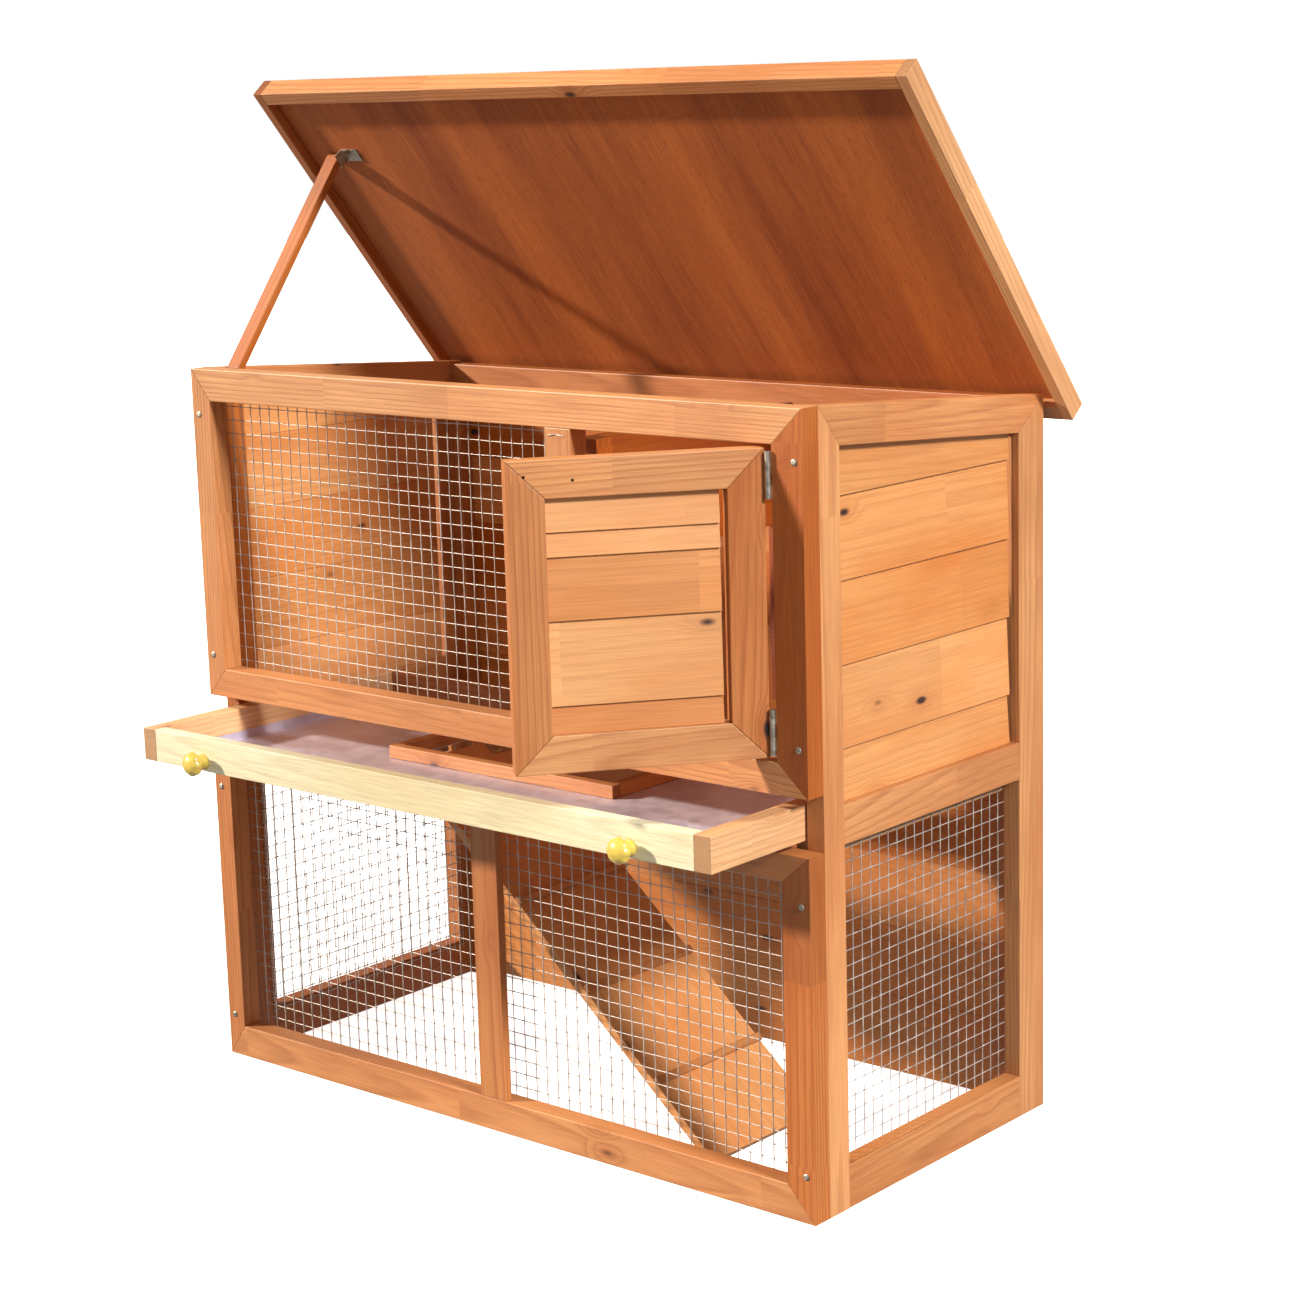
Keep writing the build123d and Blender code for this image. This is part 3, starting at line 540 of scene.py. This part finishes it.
def traySheet():
    # the floor in four plates round its hole, with its four edges turned up
    low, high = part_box("tray_sheet")
    rimLow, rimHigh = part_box("tray_hole_rim")
    rimWidth = sheetLook["rimWidth"]
    holeLow = (rimLow.x + rimWidth, rimLow.y + rimWidth)
    holeHigh = (rimHigh.x - rimWidth, rimHigh.y - rimWidth)
    t, clear = sheetLook["thickness"], sheetLook["clear"]
    x0, x1, y0, y1 = low.x + clear, high.x - clear, low.y + clear, high.y - clear
    base, top = low.z, low.z + t
    vertices, faces = [], []
    slab((x0, y0, base), (holeLow[0], y1, top), vertices, faces)
    slab((holeHigh[0], y0, base), (x1, y1, top), vertices, faces)
    slab((holeLow[0], y0, base), (holeHigh[0], holeLow[1], top), vertices, faces)
    slab((holeLow[0], holeHigh[1], base), (holeHigh[0], y1, top), vertices, faces)
    lipTop = top + sheetLook["lip"]
    slab((x0, y0, top), (x1, y0 + t, lipTop), vertices, faces)
    slab((x0, y1 - t, top), (x1, y1, lipTop), vertices, faces)
    slab((x0, y0 + t, top), (x0 + t, y1 - t, lipTop), vertices, faces)
    slab((x1 - t, y0 + t, top), (x1, y1 - t, lipTop), vertices, faces)
    piece = newPiece("tray_sheet_folded", vertices, faces, "tray", dippedSheet, False)
    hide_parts("tray_sheet")


traySheet()


knobLook = {"lobes": 8, "lobeDepth": 0.045, "lobesFrom": 0.6, "fill": 0.98, "steps": 64}


def knobs():
    # a turned knob with shallow finger lobes round its widest part
    # the outline runs from the board outwards, as shares of the knob's depth and radius
    low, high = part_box("tray_knobs")
    tall = high.z - low.z
    outline = [
        (0.0, 0.62), (0.1, 0.6), (0.2, 0.52), (0.3, 0.56), (0.4, 0.74), (0.5, 0.9), (0.6, 0.98),
        (0.7, 0.95), (0.8, 0.84), (0.9, 0.62), (0.96, 0.38), (0.99, 0.15),
    ]
    depth, radius = high.y - low.y, tall / 2 * knobLook["fill"]
    steps = knobLook["steps"]
    for name, x in (("left", low.x + radius), ("right", high.x - radius)):
        centre = Vector((x, high.y, (low.z + high.z) / 2))
        vertices, faces = [], []
        for out, wide in outline:
            wideShare = max(0.0, wide - knobLook["lobesFrom"]) / (1 - knobLook["lobesFrom"])
            lobed = knobLook["lobeDepth"] * wideShare
            for step in range(steps):
                turn = 2 * math.pi * step / steps
                r = radius * wide * (1 - lobed * (1 - math.cos(knobLook["lobes"] * turn)))
                vertices.append(centre + Vector((r * math.cos(turn), -out * depth, r * math.sin(turn))))
        for ring in range(len(outline) - 1):
            for step in range(steps):
                following = (step + 1) % steps
                at = ring * steps
                faces.append((at + step, at + following, at + steps + following, at + steps + step))
        faces.append(tuple(reversed(range(steps))))
        faces.append(tuple((len(outline) - 1) * steps + step for step in range(steps)))
        piece = newPiece("tray_knob_" + name, vertices, faces, "tray", lacqueredBeech)
        if name == "left":
            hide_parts("tray_knobs")


knobs()
print("tray fitted")


fixingLook = {
    "screw": 3.4 * mm, "dome": 1.9 * mm, "leafScrew": 2.6 * mm, "leafDome": 0.8 * mm,
    "nail": 1.5 * mm, "nailDome": 0.3 * mm, "staple": 0.55 * mm,
    "cross": 0.1125, "crossReach": 0.6, "crossDepth": 0.7,    # shares of the head's radius and dome
}


def crossHead(centre, out, radius, dome, vertices, faces):
    # a low domed screw head with a cross-shaped recess, facing out from the surface
    out = Vector(out).normalized()
    first = out.orthogonal().normalized()
    second = out.cross(first)
    start, rings, steps = len(vertices), 9, 32
    for ring in range(rings + 1):
        share = ring / rings
        for step in range(steps):
            turn = 2 * math.pi * step / steps
            a, b = share * radius * math.cos(turn), share * radius * math.sin(turn)
            height = dome * (math.sqrt(1 - (0.98 * share) ** 2) + 0.05)     # its rim stands clear
            if min(abs(a), abs(b)) < fixingLook["cross"] * radius and share < fixingLook["crossReach"]:
                height -= fixingLook["crossDepth"] * dome * (1 - share / fixingLook["crossReach"])
            vertices.append(centre + first * a + second * b + out * height)
    for ring in range(rings):
        for step in range(steps):
            following = (step + 1) % steps
            at = start + ring * steps
            faces.append((at + step, at + following, at + steps + following, at + steps + step))
    rim = start + rings * steps
    faces.append(tuple(rim + step for step in reversed(range(steps))))


def fixings(name, body, spots, radius, dome, replaced=None):
    vertices, faces = [], []
    for centre, out in spots:
        crossHead(Vector(centre), out, radius, dome, vertices, faces)
    piece = newPiece(name, vertices, faces, body, platedSteel)
    if replaced:
        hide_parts(replaced)


headRadius = 4 * mm     # of the CAD heads that these replace
screwHeights = (48 * mm, 318 * mm, 470 * mm, 740 * mm)
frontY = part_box("upper_top_rail")[0].y
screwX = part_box("frame_screws")[1].x - headRadius
button = [(a + b) / 2 for a, b in zip(*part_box("turn_button"))]
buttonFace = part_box("turn_button")[0].y
front = (0, -1, 0)
screwSpots = [((side * screwX, frontY, z), front) for side in (-1, 1) for z in screwHeights]
screwSpots.append(((button[0], buttonFace, button[2]), front))
fixings("panel_screw_heads", "body", screwSpots, fixingLook["screw"], fixingLook["dome"], "frame_screws")


# screws in the roof hinges' leaves, on the back of the top rail
roofHinge = {"x": 300 * mm, "z": 736 * mm, "leaf": 1.2 * mm, "screwPitch": 14 * mm}
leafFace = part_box("back_rails")[1].y + roofHinge["leaf"]
roofScrews = [
    ((side * roofHinge["x"] + step * roofHinge["screwPitch"], leafFace, roofHinge["z"]), (0, 1, 0))
    for side in (-1, 1) for step in (-1, 0, 1)
]
fixings("roof_hinge_screws", "body", roofScrews, fixingLook["leafScrew"], fixingLook["leafDome"])


def staples():
    # two wire staples near the top of the upper panel's mullion
    vertices, faces = [], []
    low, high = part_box("upper_mullion")
    for u, lean in ((0.28, 0.2), (0.62, -0.15)):
        x, z, reach = low.x + (high.x - low.x) * u, high.z - 7 * mm, 4.5 * mm
        path = [(x - reach, 0.6), (x - reach, -0.7), (x, -0.9), (x + reach, -0.7), (x + reach, 0.6)]
        points = [Vector((px, low.y + out * mm, z + (px - x) * lean)) for px, out in path]
        wireTube(points, [fixingLook["staple"]] * len(points), 8, vertices, faces)
    newPiece("mesh_staples", vertices, faces, "body", dippedWire)


staples()


def railPins():
    # oval pins punched level with the face, near the free corner of the door's top rail
    rail = frame["nodes"]["door_top_rail"].data
    face = max((p for p in rail.polygons if p.normal.x > 0.4 and p.normal.y < -0.4), key=lambda p: p.area)
    outward = face.normal.copy()
    along = Vector((-outward.y, outward.x, 0))
    facing = [p for p in rail.polygons if p.normal.dot(outward) > 0.99]
    places = [rail.vertices[i].co for p in facing for i in p.vertices]
    corner = min(places, key=lambda place: round(place.dot(along), 5))
    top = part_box("door_top_rail")[1].z
    vertices, faces = [], []
    for distance, drop in ((17 * mm, 15 * mm), (62 * mm, 20 * mm)):
        spot = corner + along * distance
        spot.z = top - drop
        crossHead(spot, outward, fixingLook["nail"], fixingLook["nailDome"], vertices, faces)
    newPiece("door_rail_pins", vertices, faces, "door", darkBrownPinSteel)


railPins()
print("fixings made")


for node, slotName in slotOf.items():
    if slotName == "zinc_steel":
        frame["nodes"][node].data.materials.clear()
        frame["nodes"][node].data.materials.append(platedSteel)
    elif slotName == "roofing_felt":
        frame["nodes"][node].data.materials.clear()
        frame["nodes"][node].data.materials.append(felt)


studioLook = {"ambient": 0.42, "floorGlow": 0.9, "floorSize": 14, "floorDrop": 0.4 * mm}


def studio():
    # a white room: the backdrop and floor look white, but light the hutch only softly
    ground = bmesh.new()
    bmesh.ops.create_grid(ground, x_segments=2, y_segments=2, size=studioLook["floorSize"])
    mesh = bpy.data.meshes.new("studio_floor")
    ground.to_mesh(mesh)
    ground.free()
    floor = bpy.data.objects.new("studio_floor", mesh)
    bpy.context.scene.collection.objects.link(floor)
    floor.location.z = -studioLook["floorDrop"]
    floor.visible_diffuse = floor.visible_glossy = False    # its glow stays off the hutch
    material, tree, surface = newMaterial("matt white floor")
    setInputs(tree, surface, {
        "Base Color": linearColour("#F4F3F1"), "Roughness": 0.9,
        "Emission Color": (1, 1, 1, 1), "Emission Strength": studioLook["floorGlow"],
    })
    mesh.materials.append(material)

    world = bpy.data.worlds.new("white studio")
    world.use_nodes = True
    tree = world.node_tree
    tree.nodes.clear()
    seen = addNode(tree, "ShaderNodeLightPath").outputs["Is Camera Ray"]
    strength = addNode(tree, "ShaderNodeMapRange", {
        "Value": seen, "To Min": studioLook["ambient"], "To Max": 1.0,
    })
    backdrop = addNode(tree, "ShaderNodeBackground", {"Color": (1, 1, 1, 1), "Strength": strength})
    addNode(tree, "ShaderNodeOutputWorld", {"Surface": backdrop})
    bpy.context.scene.world = world
    bpy.context.scene.view_settings.view_transform = "Standard"

    lamps = {
        "key": {"travel": (0.68, 0.58, -0.42), "strength": 5.8, "softness": 4.0, "colour": "#FFF3E4"},
        "side": {"travel": (-0.83, 0.10, -0.54), "strength": 4.9, "softness": 11.0, "colour": "#FFFFFF"},
    }
    for name, look in lamps.items():
        lamp = bpy.data.lights.new(name, "SUN")
        lamp.energy = look["strength"]
        lamp.angle = math.radians(look["softness"])
        lamp.color = linearColour(look["colour"])[:3]
        holder = bpy.data.objects.new(name, lamp)
        holder.rotation_mode = "QUATERNION"
        holder.rotation_quaternion = Vector(look["travel"]).to_track_quat("-Z", "Y")
        bpy.context.scene.collection.objects.link(holder)


def camera():
    # from the front right, a little above the hutch and looking slightly down
    look = {"place": (1.9472, -2.0140, 1.0808), "lens": 77.05}
    right, down, ahead = (0.7628, 0.6460, -0.0280), (0.1077, -0.1695, -0.9796), (-0.6376, 0.7443, -0.1989)
    view = bpy.data.cameras.new("camera")
    view.lens, view.sensor_width = look["lens"], 36.0
    view.clip_end = 100
    holder = bpy.data.objects.new("camera", view)
    turn = Matrix((Vector(right), -Vector(down), -Vector(ahead))).transposed()
    holder.matrix_world = Matrix.Translation(look["place"]) @ turn.to_4x4()
    bpy.context.scene.collection.objects.link(holder)
    bpy.context.scene.camera = holder


studio()
camera()
print("studio ready")
